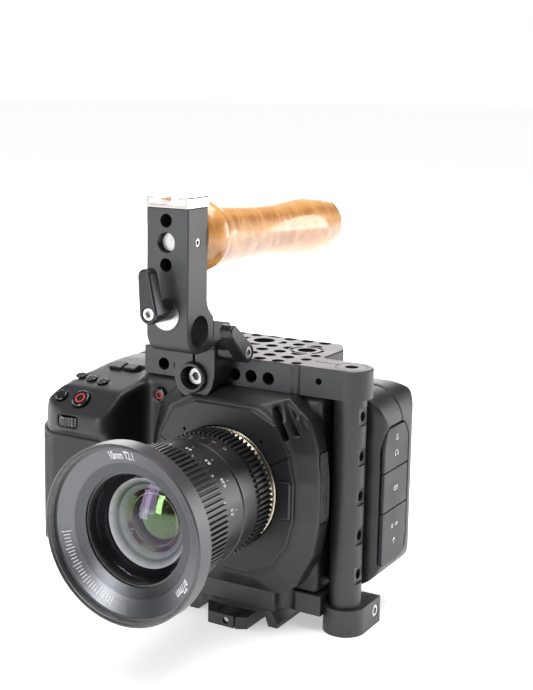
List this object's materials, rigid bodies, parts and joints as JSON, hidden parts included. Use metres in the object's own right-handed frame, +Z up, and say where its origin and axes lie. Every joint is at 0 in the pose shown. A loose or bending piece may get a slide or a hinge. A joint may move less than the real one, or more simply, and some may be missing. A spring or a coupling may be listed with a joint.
{
  "type": "cinema camera rig",
  "caption": "Compact cinema camera with a wide geared lens in a black half cage, with a clamped top handle, wooden grip, side rod and dovetail base.",
  "frame": {"origin": "mouth of the tripod thread in the underside of the base plate, on the plane of the lens axis", "axes": "+Z up, -Y the way the lens looks, +X the side with the rod and the port doors"},
  "size_m": [0.1791, 0.2237, 0.2089],
  "materials": {
    "casing": "fine satin moulded plastic",
    "casing_trim": "satin plastic",
    "rubber": "ribbed grip rubber",
    "buttons": "polished black plastic",
    "cage_black": "bead-blasted black anodised aluminium",
    "levers": "smooth black nylon",
    "steel": "turned stainless steel",
    "shoe_bright": "polished folded metal",
    "mount_chrome": "polished metal",
    "lens_black": "satin black anodised",
    "name_ring_grey": "satin dark grey anodised",
    "lens_glass": "coated optical glass",
    "screen_glass": "glossy display glass",
    "screen_frame": "glossy frame",
    "grille_metal": "perforated sheet",
    "circuit": "solder-masked board",
    "heat_sink_bare": "extruded",
    "inner_plastic": "moulded",
    "wood_honey": "polished, oiled hardwood"
  },
  "bodies": {
    "rig": {"base_plate": "cage_black", "battery": "inner_plastic", "camera_screw": "steel", "clamp_disc": "steel", "cold_shoe": "shoe_bright", "fan_frame": "inner_plastic", "front_bell": "lens_black", "front_casing": "casing", "front_element": "lens_glass", "grip_bolt": "steel", "grip_rubber": "rubber", "handle_post": "cage_black", "heat_sink": "heat_sink_bare", "image_sensor": "circuit", "inner_element": "lens_glass", "lcd_bezel": "screen_frame", "lcd_glass": "screen_glass", "lens_barrel": "lens_black", "lens_flange": "mount_chrome", "lens_support": "cage_black", "main_board": "circuit", "mount_cover_lower": "casing", "mount_cover_upper": "casing", "mount_ring": "mount_chrome", "name_ring": "name_ring_grey", "port_panel": "inner_plastic", "post_set_screw": "steel", "rear_casing": "casing", "rear_element": "lens_glass", "rod_clamp_block": "cage_black", "rod_clamp_screw": "steel", "rod_stub": "cage_black", "side_grille": "grille_metal", "side_rod": "cage_black", "stub_screw": "steel", "tally_bar": "casing_trim", "top_plate": "cage_black", "wood_grip": "wood_honey"},
    "record_button_top": {"record_button_top": "buttons"},
    "stills_button": {"stills_button": "buttons"},
    "iso_button": {"iso_button": "buttons"},
    "shutter_button": {"shutter_button": "buttons"},
    "white_balance_button": {"white_balance_button": "buttons"},
    "record_button_front": {"record_button_front": "buttons"},
    "menu_button": {"menu_button": "buttons"},
    "play_button": {"play_button": "buttons"},
    "lens_release": {"lens_release": "casing_trim"},
    "power_switch": {"power_switch": "casing_trim"},
    "control_wheel": {"control_wheel": "casing_trim"},
    "fan_impeller": {"fan_impeller": "inner_plastic"},
    "port_door_upper": {"port_door_upper": "rubber"},
    "port_door_middle": {"port_door_middle": "rubber"},
    "port_door_lower": {"port_door_lower": "rubber"},
    "battery_door": {"battery_door": "casing"},
    "focus_ring": {"focus_ring": "lens_black"},
    "iris_ring": {"iris_ring": "lens_black"},
    "front_lever": {"front_lever": "levers", "front_lever_screw": "steel"},
    "side_lever": {"side_lever": "levers", "side_lever_screw": "steel"}
  },
  "joints": [
    {"name": "record_button_top_press", "type": "slide", "parent": "rig", "child": "record_button_top", "axis": [0, 0.6741, -0.7386], "range_m": [0, 0.0006], "stiffness_N_per_m": 300, "springref_m": -0.001},
    {"name": "stills_button_press", "type": "slide", "parent": "rig", "child": "stills_button", "axis": [0, 0.6741, -0.7386], "range_m": [0, 0.0006], "stiffness_N_per_m": 300, "springref_m": -0.001},
    {"name": "iso_button_press", "type": "slide", "parent": "rig", "child": "iso_button", "axis": [0, 0.2272, -0.9738], "range_m": [0, 0.0006], "stiffness_N_per_m": 300, "springref_m": -0.001},
    {"name": "shutter_button_press", "type": "slide", "parent": "rig", "child": "shutter_button", "axis": [0, 0.2272, -0.9738], "range_m": [0, 0.0006], "stiffness_N_per_m": 300, "springref_m": -0.001},
    {"name": "white_balance_button_press", "type": "slide", "parent": "rig", "child": "white_balance_button", "axis": [0, 0.2272, -0.9738], "range_m": [0, 0.0006], "stiffness_N_per_m": 300, "springref_m": -0.001},
    {"name": "record_button_front_press", "type": "slide", "parent": "rig", "child": "record_button_front", "axis": [0, 1, 0], "range_m": [0, 0.0006], "stiffness_N_per_m": 300, "springref_m": -0.001},
    {"name": "menu_button_press", "type": "slide", "parent": "rig", "child": "menu_button", "axis": [0, -1, 0], "range_m": [0, 0.0006], "stiffness_N_per_m": 300, "springref_m": -0.001},
    {"name": "play_button_press", "type": "slide", "parent": "rig", "child": "play_button", "axis": [0, -1, 0], "range_m": [0, 0.0006], "stiffness_N_per_m": 300, "springref_m": -0.001},
    {"name": "lens_release_press", "type": "slide", "parent": "rig", "child": "lens_release", "axis": [0, 1, 0], "range_m": [0, 0.002], "stiffness_N_per_m": 300, "springref_m": -0.001},
    {"name": "power_switch_slide", "type": "slide", "parent": "rig", "child": "power_switch", "axis": [1, 0, 0], "range_m": [0, 0.003]},
    {"name": "control_wheel_spin", "type": "hinge", "parent": "rig", "child": "control_wheel", "pos_m": [-0.086, -0.0428, 0.0834], "axis": [0, 0, 1], "continuous": true},
    {"name": "fan_spin", "type": "hinge", "parent": "rig", "child": "fan_impeller", "pos_m": [-0.004, -0.001, 0.0364], "axis": [0, 1, 0], "continuous": true},
    {"name": "port_door_upper_hinge", "type": "hinge", "parent": "rig", "child": "port_door_upper", "pos_m": [0.0659, -0.0015, 0.0794], "axis": [0, 0, 1], "range_deg": [-95, 0]},
    {"name": "port_door_middle_hinge", "type": "hinge", "parent": "rig", "child": "port_door_middle", "pos_m": [0.0659, -0.0015, 0.0589], "axis": [0, 0, 1], "range_deg": [-95, 0]},
    {"name": "port_door_lower_hinge", "type": "hinge", "parent": "rig", "child": "port_door_lower", "pos_m": [0.0659, -0.0015, 0.03565], "axis": [0, 0, 1], "range_deg": [-95, 0]},
    {"name": "battery_door_hinge", "type": "hinge", "parent": "rig", "child": "battery_door", "pos_m": [-0.0875, 0.0125, 0.0104], "axis": [1, 0, 0], "range_deg": [0, 95]},
    {"name": "focus_turn", "type": "hinge", "parent": "rig", "child": "focus_ring", "pos_m": [0, -0.092, 0.0624], "axis": [0, 1, 0], "range_deg": [0, 130]},
    {"name": "iris_turn", "type": "hinge", "parent": "rig", "child": "iris_ring", "pos_m": [0, -0.058, 0.0624], "axis": [0, 1, 0], "range_deg": [0, 75]},
    {"name": "front_lever_turn", "type": "hinge", "parent": "rig", "child": "front_lever", "pos_m": [-0.0194, -0.07, 0.1486], "axis": [0, 1, 0], "range_deg": [-110, 110]},
    {"name": "side_lever_turn", "type": "hinge", "parent": "rig", "child": "side_lever", "pos_m": [0, -0.0315, 0.1264], "axis": [1, 0, 0], "range_deg": [-105, 55]}
  ]
}
